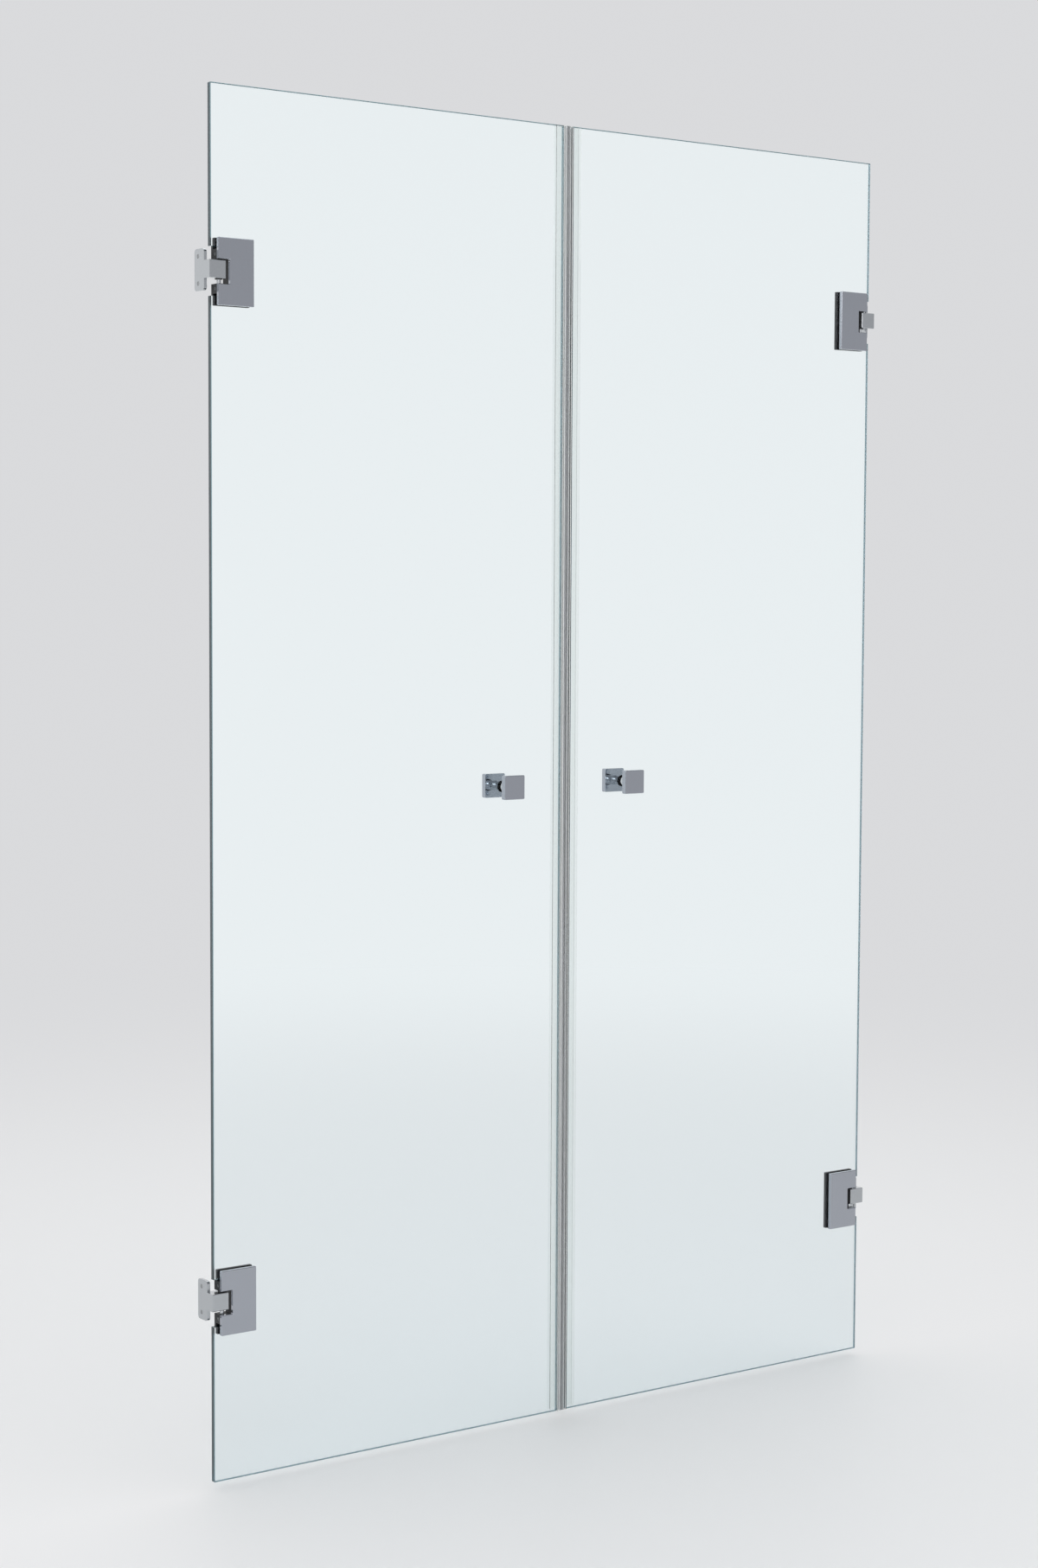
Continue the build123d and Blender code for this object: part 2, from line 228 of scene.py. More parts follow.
class StudioSettings(bpy.types.PropertyGroup):
    """Floor, background, lamps and camera."""

    floor_gap: FloatProperty(
        name="Floor Gap",
        description="Height of the glass above the floor",
        subtype="DISTANCE", unit="LENGTH", min=0.0, max=0.1, default=0.011, precision=4,
    )
    floor_colour: FloatVectorProperty(
        name="Floor",
        description="Colour of the floor",
        subtype="COLOR", size=3, min=0.0, max=1.0, default=(0.78, 0.785, 0.795),
    )
    backdrop_colour: FloatVectorProperty(
        name="Backdrop",
        description="Colour that the camera sees behind the door",
        subtype="COLOR", size=3, min=0.0, max=1.0, default=(0.70, 0.705, 0.72),
    )
    back_colour: FloatVectorProperty(
        name="Back",
        description="Colour of the backdrop as glass and gloss show it",
        subtype="COLOR", size=3, min=0.0, max=1.0, default=(0.92, 0.925, 0.93),
    )
    front_colour: FloatVectorProperty(
        name="Front",
        description="Colour of the room in front of the door, as gloss shows it",
        subtype="COLOR", size=3, min=0.0, max=1.0, default=(0.60, 0.605, 0.62),
    )
    ceiling_colour: FloatVectorProperty(
        name="Ceiling",
        description="Colour high up in front of the door, as gloss shows it",
        subtype="COLOR", size=3, min=0.0, max=1.0, default=(0.34, 0.35, 0.37),
    )
    ambient: FloatProperty(
        name="Ambient Light",
        description="Strength of the even light from all round",
        min=0.0, max=2.0, default=0.90,
    )
    key_power: FloatProperty(
        name="Key Lamp",
        description="Power of the large lamp at the front left",
        unit="POWER", min=0.0, max=2000.0, default=50.0,
    )
    top_power: FloatProperty(
        name="Top Lamp",
        description="Power of the large lamp above the door",
        unit="POWER", min=0.0, max=2000.0, default=14.0,
    )
    camera_place: FloatVectorProperty(
        name="Camera Place",
        description="Where the camera stands",
        subtype="TRANSLATION", unit="LENGTH", size=3, default=(-2.4903, -3.3124, 1.2336),
    )
    camera_yaw: FloatProperty(
        name="Camera Yaw",
        description="Turn of the view from straight ahead towards the right",
        subtype="ANGLE", unit="ROTATION", default=math.radians(36.03),
    )
    camera_pitch: FloatProperty(
        name="Camera Pitch",
        description="Tilt of the view, downwards below zero",
        subtype="ANGLE", unit="ROTATION", default=math.radians(-4.04),
    )
    camera_roll: FloatProperty(
        name="Camera Roll",
        description="Lean of the camera about its own line of sight",
        subtype="ANGLE", unit="ROTATION", default=math.radians(0.26),
    )
    lens: FloatProperty(
        name="Lens",
        description="Focal length on a 36 mm sensor",
        unit="CAMERA", min=10.0, max=300.0, default=64.52,
    )


class DoorSettings(bpy.types.PropertyGroup):
    """All settings of the door and its studio."""

    glass: PointerProperty(type=GlassSettings)
    steel: PointerProperty(type=SteelSettings)
    soft: PointerProperty(type=SoftSettings)
    screws: PointerProperty(type=ScrewSettings)
    studio: PointerProperty(type=StudioSettings)


# Node helpers

def add_node(tree, kind, at=(0, 0), settings=None, inputs=None):
    """A new node with its own settings and with values on its sockets."""
    made = tree.nodes.new(kind)
    made.location = at
    for name, value in (settings or {}).items():
        setattr(made, name, value)
    for name, value in (inputs or {}).items():
        made.inputs[name].default_value = value
    return made


def link(tree, source, output, target, socket):
    """Joins an output to an input, both by name or number."""
    tree.links.new(source.outputs[output], target.inputs[socket])


def rgba(colour):
    """A colour with full alpha."""
    return (*colour, 1.0)


def new_group(name, inputs, outputs):
    """An empty shader node group with named sockets, and its input and output nodes."""
    tree = bpy.data.node_groups.new(name, "ShaderNodeTree")
    for socket, kind, value in inputs:
        made = tree.interface.new_socket(name=socket, in_out="INPUT", socket_type=kind)
        if value is not None:
            made.default_value = value
    for socket, kind in outputs:
        tree.interface.new_socket(name=socket, in_out="OUTPUT", socket_type=kind)
    source = add_node(tree, "NodeGroupInput", (-900, 0))
    result = add_node(tree, "NodeGroupOutput", (900, 0))
    return tree, source, result


def place_group(tree, group, at, inputs):
    """A node group placed in a material, with this material's own values."""
    made = add_node(tree, "ShaderNodeGroup", at)
    made.node_tree = group
    for name, value in inputs.items():
        made.inputs[name].default_value = value
    return made


def blend(tree, amount, first, second, at):
    """The socket of a mixed colour. Each of the two colours is a socket or a plain colour."""
    made = add_node(tree, "ShaderNodeMix", at, {"data_type": "RGBA"})
    tree.links.new(amount, made.inputs[MIX_AMOUNT])
    for colour, place in zip((first, second), MIX_COLOURS):
        if isinstance(colour, bpy.types.NodeSocket):
            tree.links.new(colour, made.inputs[place])
        else:
            made.inputs[place].default_value = rgba(colour)
    return made.outputs[MIX_COLOUR_RESULT]


def blend_values(tree, amount, first, second, at):
    """The socket of a mixed value. Each of the two values is a socket or a plain number."""
    made = add_node(tree, "ShaderNodeMix", at, {"data_type": "FLOAT"})
    tree.links.new(amount, made.inputs[MIX_AMOUNT])
    for value, place in zip((first, second), MIX_VALUES):
        if isinstance(value, bpy.types.NodeSocket):
            tree.links.new(value, made.inputs[place])
        else:
            made.inputs[place].default_value = value
    return made.outputs[MIX_VALUE_RESULT]


def new_material(name):
    """An empty node material with its Principled shader and its output."""
    material = bpy.data.materials.new(name)
    material.use_nodes = True
    tree = material.node_tree
    tree.nodes.clear()
    shader = add_node(tree, "ShaderNodeBsdfPrincipled", (300, 0))
    output = add_node(tree, "ShaderNodeOutputMaterial", (900, 0))
    link(tree, shader, "BSDF", output, "Surface")
    return material, tree, shader, output


# Shared effects

def brushed_grain_group():
    """Fine parallel lines and faint hand marks on metal."""
    name = "Brushed Grain"
    if name in bpy.data.node_groups:
        return bpy.data.node_groups[name]
    tree, source, result = new_group(
        name,
        (
            ("Vector", "NodeSocketVector", None),
            ("Stretch", "NodeSocketVector", (1.0, 1.0, 1.0)),
            ("Colour", "NodeSocketColor", (0.5, 0.5, 0.5, 1.0)),
            ("Line Strength", "NodeSocketFloat", 0.06),
            ("Roughness", "NodeSocketFloat", 0.25),
            ("Roughness Spread", "NodeSocketFloat", 0.08),
        ),
        (
            ("Colour", "NodeSocketColor"),
            ("Roughness", "NodeSocketFloat"),
            ("Height", "NodeSocketFloat"),
        ),
    )
    stretched = add_node(tree, "ShaderNodeVectorMath", (-700, 100), {"operation": "MULTIPLY"})
    link(tree, source, "Vector", stretched, 0)
    link(tree, source, "Stretch", stretched, 1)
    lines = add_node(
        tree, "ShaderNodeTexNoise", (-500, 200), None, {"Scale": 1.0, "Detail": 3.0, "Roughness": 0.6}
    )
    link(tree, stretched, "Vector", lines, "Vector")
    marks = add_node(
        tree, "ShaderNodeTexNoise", (-500, -200), None, {"Scale": 22.0, "Detail": 4.0, "Roughness": 0.55}
    )
    link(tree, source, "Vector", marks, "Vector")

    centred = add_node(tree, "ShaderNodeMath", (-250, 200), {"operation": "SUBTRACT"}, {1: 0.5})
    link(tree, lines, "Fac", centred, 0)
    shade = add_node(tree, "ShaderNodeMath", (-50, 200), {"operation": "MULTIPLY_ADD"}, {2: 1.0})
    link(tree, centred, "Value", shade, 0)
    link(tree, source, "Line Strength", shade, 1)
    coloured = add_node(tree, "ShaderNodeVectorMath", (200, 250), {"operation": "SCALE"})
    link(tree, source, "Colour", coloured, 0)
    link(tree, shade, "Value", coloured, "Scale")
    link(tree, coloured, "Vector", result, "Colour")

    both = add_node(tree, "ShaderNodeMath", (-250, -100), {"operation": "ADD"})
    link(tree, lines, "Fac", both, 0)
    link(tree, marks, "Fac", both, 1)
    around = add_node(tree, "ShaderNodeMath", (-50, -100), {"operation": "SUBTRACT"}, {1: 1.0})
    link(tree, both, "Value", around, 0)
    rough = add_node(
        tree, "ShaderNodeMath", (200, -100), {"operation": "MULTIPLY_ADD", "use_clamp": True}
    )
    link(tree, around, "Value", rough, 0)
    link(tree, source, "Roughness Spread", rough, 1)
    link(tree, source, "Roughness", rough, 2)
    link(tree, rough, "Value", result, "Roughness")
    link(tree, lines, "Fac", result, "Height")
    return tree


def moulded_skin_group():
    """The slightly uneven skin of rubber and moulded plastic."""
    name = "Moulded Skin"
    if name in bpy.data.node_groups:
        return bpy.data.node_groups[name]
    tree, source, result = new_group(
        name,
        (
            ("Vector", "NodeSocketVector", None),
            ("Colour", "NodeSocketColor", (0.5, 0.5, 0.5, 1.0)),
            ("Mottle", "NodeSocketFloat", 0.1),
            ("Grain Scale", "NodeSocketFloat", 1500.0),
            ("Roughness", "NodeSocketFloat", 0.5),
            ("Roughness Spread", "NodeSocketFloat", 0.1),
        ),
        (
            ("Colour", "NodeSocketColor"),
            ("Roughness", "NodeSocketFloat"),
            ("Height", "NodeSocketFloat"),
        ),
    )
    grain = add_node(tree, "ShaderNodeTexNoise", (-500, -200), None, {"Detail": 2.0})
    link(tree, source, "Vector", grain, "Vector")
    link(tree, source, "Grain Scale", grain, "Scale")
    cloud = add_node(tree, "ShaderNodeTexNoise", (-500, 200), None, {"Scale": 60.0, "Detail": 3.0})
    link(tree, source, "Vector", cloud, "Vector")
    centred = add_node(tree, "ShaderNodeMath", (-250, 200), {"operation": "SUBTRACT"}, {1: 0.5})
    link(tree, cloud, "Fac", centred, 0)
    shade = add_node(tree, "ShaderNodeMath", (-50, 200), {"operation": "MULTIPLY_ADD"}, {2: 1.0})
    link(tree, centred, "Value", shade, 0)
    link(tree, source, "Mottle", shade, 1)
    coloured = add_node(tree, "ShaderNodeVectorMath", (200, 250), {"operation": "SCALE"})
    link(tree, source, "Colour", coloured, 0)
    link(tree, shade, "Value", coloured, "Scale")
    link(tree, coloured, "Vector", result, "Colour")
    rough = add_node(
        tree, "ShaderNodeMath", (200, -50), {"operation": "MULTIPLY_ADD", "use_clamp": True}
    )
    link(tree, centred, "Value", rough, 0)
    link(tree, source, "Roughness Spread", rough, 1)
    link(tree, source, "Roughness", rough, 2)
    link(tree, rough, "Value", result, "Roughness")
    link(tree, grain, "Fac", result, "Height")
    return tree


def pane_edge_group():
    """A mask of the narrow faces round a pane, and a faint film on its wide faces."""
    name = "Pane Edge"
    if name in bpy.data.node_groups:
        return bpy.data.node_groups[name]
    tree, source, result = new_group(
        name,
        (
            ("Normal", "NodeSocketVector", None),
            ("Vector", "NodeSocketVector", None),
            ("Face Colour", "NodeSocketColor", (1.0, 1.0, 1.0, 1.0)),
            ("Edge Colour", "NodeSocketColor", (0.7, 0.8, 0.8, 1.0)),
            ("Face Roughness", "NodeSocketFloat", 0.0),
            ("Edge Roughness", "NodeSocketFloat", 0.1),
            ("Film", "NodeSocketFloat", 0.01),
        ),
        (
            ("Colour", "NodeSocketColor"),
            ("Roughness", "NodeSocketFloat"),
            ("Edge", "NodeSocketFloat"),
        ),
    )
    parts = add_node(tree, "ShaderNodeSeparateXYZ", (-700, 100))
    link(tree, source, "Normal", parts, 0)
    facing = add_node(tree, "ShaderNodeMath", (-500, 100), {"operation": "ABSOLUTE"})
    link(tree, parts, "Y", facing, 0)
    edge = add_node(tree, "ShaderNodeMath", (-300, 100), {"operation": "LESS_THAN"}, {1: 0.9})
    link(tree, facing, "Value", edge, 0)
    link(tree, edge, "Value", result, "Edge")
    colour = blend(
        tree, edge.outputs[0], source.outputs["Face Colour"], source.outputs["Edge Colour"], (300, 200)
    )
    tree.links.new(colour, result.inputs["Colour"])

    film = add_node(tree, "ShaderNodeTexNoise", (-500, -200), None, {"Scale": 3.0, "Detail": 4.0})
    link(tree, source, "Vector", film, "Vector")
    face = add_node(tree, "ShaderNodeMath", (-100, -200), {"operation": "MULTIPLY_ADD"})
    link(tree, film, "Fac", face, 0)
    link(tree, source, "Film", face, 1)
    link(tree, source, "Face Roughness", face, 2)
    rough = blend_values(
        tree, edge.outputs[0], face.outputs[0], source.outputs["Edge Roughness"], (300, -100)
    )
    tree.links.new(rough, result.inputs["Roughness"])
    return tree


# Materials

def piece_coordinates(tree, at=(-700, 0)):
    """Coordinates that stay with the piece when its leaf turns."""
    return add_node(tree, "ShaderNodeTexCoord", at)


def steel_material(name, colour, stretch, roughness, spread, line_strength, depth):
    """Metal with brushed lines along one direction."""
    material, tree, shader, _output = new_material(name)
    shader.inputs["Metallic"].default_value = 1.0
    place = piece_coordinates(tree)
    grain = place_group(
        tree, brushed_grain_group(), (-400, 0),
        {
            "Stretch": stretch,
            "Colour": rgba(colour),
            "Line Strength": line_strength,
            "Roughness": roughness,
            "Roughness Spread": spread,
        },
    )
    link(tree, place, "Object", grain, "Vector")
    link(tree, grain, "Colour", shader, "Base Color")
    link(tree, grain, "Roughness", shader, "Roughness")
    bump = add_node(tree, "ShaderNodeBump", (0, -300), None, {"Strength": 0.6, "Distance": depth})
    link(tree, grain, "Height", bump, "Height")
    link(tree, bump, "Normal", shader, "Normal")
    return material


def screw_material(steel):
    """The bare steel that all screws share."""
    name = "screw_steel"
    if name in bpy.data.materials:
        return bpy.data.materials[name]
    return steel_material(
        name, steel.polished, stretch=(300.0, 300.0, 300.0), roughness=0.24, spread=0.10,
        line_strength=0.08, depth=steel.grain_depth,
    )


def paint_shade_near_glass(material, reach, black, black_roughness=0.5):
    """Painted shade: dull black, standing for the shade inside the hinge, on the part of a plate's casting
    that lies near the middle of the glass.
    """
    tree = material.node_tree
    shader = tree.nodes["Principled BSDF"]
    place = piece_coordinates(tree, (-900, -500))
    parts = add_node(tree, "ShaderNodeSeparateXYZ", (-700, -500))
    link(tree, place, "Object", parts, 0)
    depth = add_node(tree, "ShaderNodeMath", (-500, -500), {"operation": "ABSOLUTE"})
    link(tree, parts, "Y", depth, 0)
    # Mask: 0 where the painted shade goes, 1 on the plate's own steel.
    plate = add_node(
        tree, "ShaderNodeMath", (-300, -500), {"operation": "GREATER_THAN"}, {1: reach}
    )
    link(tree, depth, "Value", plate, 0)
    link(tree, plate, "Value", shader, "Metallic")
    # The painted shade takes the place of the steel's colour, metal and roughness there.
    steel = shader.inputs["Base Color"].links[0].from_socket
    colour = blend(tree, plate.outputs[0], black, steel, (0, 200))
    tree.links.new(colour, shader.inputs["Base Color"])
    satin = shader.inputs["Roughness"].links[0].from_socket
    rough = blend_values(tree, plate.outputs[0], black_roughness, satin, (0, -100))
    tree.links.new(rough, shader.inputs["Roughness"])


def moulded_material(name, colour, roughness, mottle, grain_scale, depth, specular=0.5):
    """Rubber or plastic with a fine moulded skin."""
    material, tree, shader, _output = new_material(name)
    shader.inputs["Specular IOR Level"].default_value = specular
    place = piece_coordinates(tree)
    skin = place_group(
        tree, moulded_skin_group(), (-400, 0),
        {
            "Colour": rgba(colour),
            "Mottle": mottle,
            "Grain Scale": grain_scale,
            "Roughness": roughness,
            "Roughness Spread": roughness / 4,
        },
    )
    link(tree, place, "Object", skin, "Vector")
    link(tree, skin, "Colour", shader, "Base Color")
    link(tree, skin, "Roughness", shader, "Roughness")
    bump = add_node(tree, "ShaderNodeBump", (0, -300), None, {"Strength": 0.5, "Distance": depth})
    link(tree, skin, "Height", bump, "Height")
    link(tree, bump, "Normal", shader, "Normal")
    return material


def clear_material(
    name, face_colour, edge_colour, face_roughness, edge_roughness, film, ior, edge_tint=(1.0, 1.0, 1.0)
):
    """Clear glass or plastic that lets the lamps through, with its own look at the edges."""
    material, tree, shader, output = new_material(name)
    shader.inputs["Transmission Weight"].default_value = 1.0
    shader.inputs["IOR"].default_value = ior
    place = piece_coordinates(tree)
    edge = place_group(
        tree, pane_edge_group(), (-400, 0),
        {
            "Face Colour": rgba(face_colour),
            "Edge Colour": rgba(edge_colour),
            "Face Roughness": face_roughness,
            "Edge Roughness": edge_roughness,
            "Film": film,
        },
    )
    link(tree, place, "Normal", edge, "Normal")
    link(tree, place, "Object", edge, "Vector")
    link(tree, edge, "Colour", shader, "Base Color")
    link(tree, edge, "Roughness", shader, "Roughness")
    link(tree, edge, "Edge", shader, "Coat Weight")
    shader.inputs["Coat Tint"].default_value = rgba(edge_tint)
    path = add_node(tree, "ShaderNodeLightPath", (300, 400))
    through = add_node(tree, "ShaderNodeBsdfTransparent", (300, -500), None, {"Color": rgba(face_colour)})
    mixed = add_node(tree, "ShaderNodeMixShader", (650, 100))
    link(tree, path, "Is Shadow Ray", mixed, 0)
    link(tree, shader, "BSDF", mixed, 1)
    link(tree, through, "BSDF", mixed, 2)
    link(tree, mixed, "Shader", output, "Surface")
    return material, tree, output


def glass_material(settings):
    """Clear safety glass, cool in tone and darker along a deep line of sight."""
    material, tree, output = clear_material(
        "clear_glass",
        face_colour=settings.tint,
        edge_colour=settings.edge_colour,
        face_roughness=0.0,
        edge_roughness=settings.edge_roughness,
        film=0.006,
        ior=GLASS_IOR,
        edge_tint=settings.edge_tint,
    )
    depth = add_node(tree, "ShaderNodeVolumeAbsorption", (650, -200))
    depth.inputs["Color"].default_value = rgba(settings.depth_colour)
    depth.inputs["Density"].default_value = settings.depth_density
    link(tree, depth, "Volume", output, "Volume")
    return material


# Pieces

def nodes_ending(*endings):
    """The CAD nodes whose names end in one of these words."""
    return [node for name, node in sorted(frame["nodes"].items()) if name.endswith(endings)]


def dress(nodes, material):
    """Gives CAD nodes their material."""
    for node in nodes:
        if not node.material_slots:
            node.data.materials.append(material)
        for slot in node.material_slots:
            slot.material = material


def door_settings(context):
    """The door's settings on this scene."""
    return context.scene.shower_door


def ring(mesh, radius_at, depth, steps):
    """A closed ring of vertices at one depth, with a radius for each angle."""
    made = []
    for step in range(steps):
        angle = 2 * math.pi * step / steps
        radius = radius_at(angle)
        made.append(mesh.verts.new((depth, radius * math.cos(angle), radius * math.sin(angle))))
    return made


def bridge(mesh, first, second):
    """Faces between two rings of the same number of vertices."""
    count = len(first)
    for step in range(count):
        after = (step + 1) % count
        mesh.faces.new((first[step], first[after], second[after], second[step]))


def wall_screw_mesh(mesh, place, outwards, settings):
    """One countersunk screw with a six-lobed recess. It points along X, towards the wall."""
    steps = 72
    lobes = 6
    head = settings.head_diameter / 2
    shank = settings.shank_diameter / 2
    recess = settings.recess_diameter / 2
    lobe = recess * 0.14
    sunk = 0.0002
    rim = 0.0003
    recess_depth = 0.0018
    wall_depth = recess_depth * 0.85
    floor_share = 0.7
    wall_share = 0.94
    lip_share = 1.06
    top = -settings.flange_thickness + sunk

    def lobed(angle):
        return recess + lobe * math.cos(lobes * angle)

    rings = (
        (lambda angle: lobed(angle) * floor_share, top + recess_depth),
        (lambda angle: lobed(angle) * wall_share, top + wall_depth),
        (lobed, top + sunk),
        (lambda angle: lobed(angle) * lip_share, top),
        (lambda angle: head - rim, top),
        (lambda angle: head, top + rim),
        (lambda angle: shank, top + rim + head - shank),
        (lambda angle: shank, -sunk),
    )
    made = [ring(mesh, radius_at, depth, steps) for radius_at, depth in rings]
    for first, second in zip(made, made[1:]):
        bridge(mesh, first, second)
    mesh.faces.new(made[0])
    mesh.faces.new(reversed(made[-1]))
    turn = Matrix.Diagonal((outwards, 1.0, 1.0, 1.0))
    bmesh.ops.transform(
        mesh, matrix=Matrix.Translation(place) @ turn, verts=[vert for rung in made for vert in rung]
    )


class SHOWERDOOR_OT_glass_leaves(bpy.types.Operator):
    """Give both glass leaves their clear glass"""

    bl_idname = "shower_door.glass_leaves"
    bl_label = "Glass Leaves"
    bl_options = {"REGISTER", "UNDO"}

    def execute(self, context):
        settings = door_settings(context)
        dress(nodes_ending("_glass"), glass_material(settings.glass))
        return {"FINISHED"}


class SHOWERDOOR_OT_meeting_seals(bpy.types.Operator):
    """Give the meeting seals their clear profile and grey magnet strip"""

    bl_idname = "shower_door.meeting_seals"
    bl_label = "Meeting Seals"
    bl_options = {"REGISTER", "UNDO"}

    def execute(self, context):
        settings = door_settings(context)
        clear, _tree, _output = clear_material(
            "clear_seal",
            face_colour=settings.glass.seal_tint,
            edge_colour=settings.glass.seal_tint,
            face_roughness=0.02,
            edge_roughness=0.03,
            film=0.03,
            ior=SEAL_IOR,
        )
        dress(nodes_ending("_seal_profile"), clear)
        strip = moulded_material(
            "magnet_strip", settings.soft.magnet, roughness=0.45, mottle=0.10, grain_scale=900.0,
            depth=0.00003,
        )
        dress(nodes_ending("_seal_magnet"), strip)
        return {"FINISHED"}


class SHOWERDOOR_OT_knobs(bpy.types.Operator):
    """Give the knobs their satin heads, polished necks, studs and sleeves"""

    bl_idname = "shower_door.knobs"
    bl_label = "Knobs"
    bl_options = {"REGISTER", "UNDO"}

    def execute(self, context):
        settings = door_settings(context)
        steel = settings.steel
        heads = steel_material(
            "knob_satin", steel.satin, stretch=(700.0, 700.0, 60.0), roughness=0.07, spread=0.03,
            line_strength=0.04, depth=steel.grain_depth / 6,
        )
        necks = steel_material(
            "knob_polished", steel.polished, stretch=(60.0, 900.0, 60.0), roughness=0.05, spread=0.03,
            line_strength=0.04, depth=steel.grain_depth / 6,
        )
        dress(nodes_ending("_knob_outer_head", "_knob_inner_head"), heads)
        dress(nodes_ending("_knob_outer_neck", "_knob_inner_neck", "_knob_stud"), necks)
        sleeve = moulded_material(
            "sleeve_plastic", settings.soft.sleeve, roughness=0.45, mottle=0.04, grain_scale=1200.0,
            depth=0.00002,
        )
        dress(nodes_ending("_knob_sleeve"), sleeve)
        return {"FINISHED"}


class SHOWERDOOR_OT_clamp_plates(bpy.types.Operator):
    """Give the clamp plates their satin steel, with painted shade in black on the hinge body and on the inner
    plates' sides
    """

    bl_idname = "shower_door.clamp_plates"
    bl_label = "Clamp Plates"
    bl_options = {"REGISTER", "UNDO"}

    def execute(self, context):
        settings = door_settings(context)
        steel = settings.steel
        for place, reach in (("outer", steel.body_shade_reach), ("inner", steel.inner_side_shade_reach)):
            plates = steel_material(
                f"{place}_plate_satin", steel.satin, stretch=(700.0, 700.0, 50.0), roughness=0.15,
                spread=0.06, line_strength=0.06, depth=steel.grain_depth / 3,
            )
            # Painted shade: black on the hinge's body and the inner plates' sides, where shade falls.
            paint_shade_near_glass(plates, reach, steel.body_shade)
            dress(nodes_ending(f"_{place}_plate"), plates)
        return {"FINISHED"}


class SHOWERDOOR_OT_wall_brackets(bpy.types.Operator):
    """Give the wall brackets their lighter steel"""

    bl_idname = "shower_door.wall_brackets"
    bl_label = "Wall Brackets"
    bl_options = {"REGISTER", "UNDO"}

    def execute(self, context):
        settings = door_settings(context)
        steel = settings.steel
        cast = steel_material(
            "bracket_satin", steel.cast, stretch=(80.0, 700.0, 700.0), roughness=0.20, spread=0.07,
            line_strength=0.05, depth=steel.grain_depth / 2,
        )
        dress(nodes_ending("_wall_bracket"), cast)
        return {"FINISHED"}


class SHOWERDOOR_OT_pivots(bpy.types.Operator):
    """Give the hinge pins, bushes and washers their materials"""

    bl_idname = "shower_door.pivots"
    bl_label = "Pivots"
    bl_options = {"REGISTER", "UNDO"}

    def execute(self, context):
        settings = door_settings(context)
        steel = settings.steel
        pin = steel_material(
            "pin_ground", steel.polished, stretch=(90.0, 90.0, 1600.0), roughness=0.16, spread=0.06,
            line_strength=0.06, depth=steel.grain_depth / 2,
        )
        dress(nodes_ending("_pivot_pin"), pin)
        plastic = moulded_material(
            "bush_plastic", settings.soft.bush, roughness=0.40, mottle=0.12, grain_scale=1200.0,
            depth=0.00002,
        )
        dress(nodes_ending("_hinge_bushes", "_thrust_washer"), plastic)
        return {"FINISHED"}


class SHOWERDOOR_OT_gaskets(bpy.types.Operator):
    """Give the gaskets of hinges and knobs their black rubber"""

    bl_idname = "shower_door.gaskets"
    bl_label = "Gaskets"
    bl_options = {"REGISTER", "UNDO"}

    def execute(self, context):
        settings = door_settings(context)
        rubber = moulded_material(
            "gasket_rubber", settings.soft.rubber, roughness=0.7, mottle=0.25, grain_scale=1500.0,
            depth=0.00004, specular=0.25,
        )
        dress(nodes_ending("_outer_gasket", "_inner_gasket", "_knob_gaskets"), rubber)
        return {"FINISHED"}


class SHOWERDOOR_OT_hinge_screws(bpy.types.Operator):
    """Give the clamp screws and the pin's lock screws their steel"""

    bl_idname = "shower_door.hinge_screws"
    bl_label = "Hinge Screws"
    bl_options = {"REGISTER", "UNDO"}

    def execute(self, context):
        settings = door_settings(context)
        dress(nodes_ending("_clamp_screws", "_pin_lock_screws"), screw_material(settings.steel))
        return {"FINISHED"}


class SHOWERDOOR_OT_wall_screws(bpy.types.Operator):
    """Put a countersunk screw in every wall hole of the brackets"""

    bl_idname = "shower_door.wall_screws"
    bl_label = "Wall Screws"
    bl_options = {"REGISTER", "UNDO"}

    def execute(self, context):
        settings = door_settings(context)
        material = screw_material(settings.steel)
        patterns = [mount for mount in frame["record"]["mounts"] if mount["kind"] == "bolt_pattern"]
        if not patterns:
            raise RuntimeError("the record has no wall holes to put screws in")
        for mount in patterns:
            self.fill_pattern(mount, settings.screws, material)
        return {"FINISHED"}

    def fill_pattern(self, mount, settings, material):
        """One object with the screws of one bracket."""
        name = mount["name"].replace("_wall_holes", "_wall_screws")
        place = Vector(mount["pos_m"])
        outwards = math.copysign(1.0, place.x)
        mesh = bmesh.new()
        half_spacing = mount["dims"]["spacing_y_mm"] / 1000 / 2
        for side in (1, -1):
            shift = Vector((0.0, 0.0, side * half_spacing))
            wall_screw_mesh(mesh, place + shift, outwards, settings)
        bmesh.ops.recalc_face_normals(mesh, faces=mesh.faces)
        data = bpy.data.meshes.new(name)
        mesh.to_mesh(data)
        mesh.free()
        data.materials.append(material)
        screws = bpy.data.objects.new(name, data)
        bpy.context.scene.collection.objects.link(screws)
        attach(screws, "wall_side")


# Studio

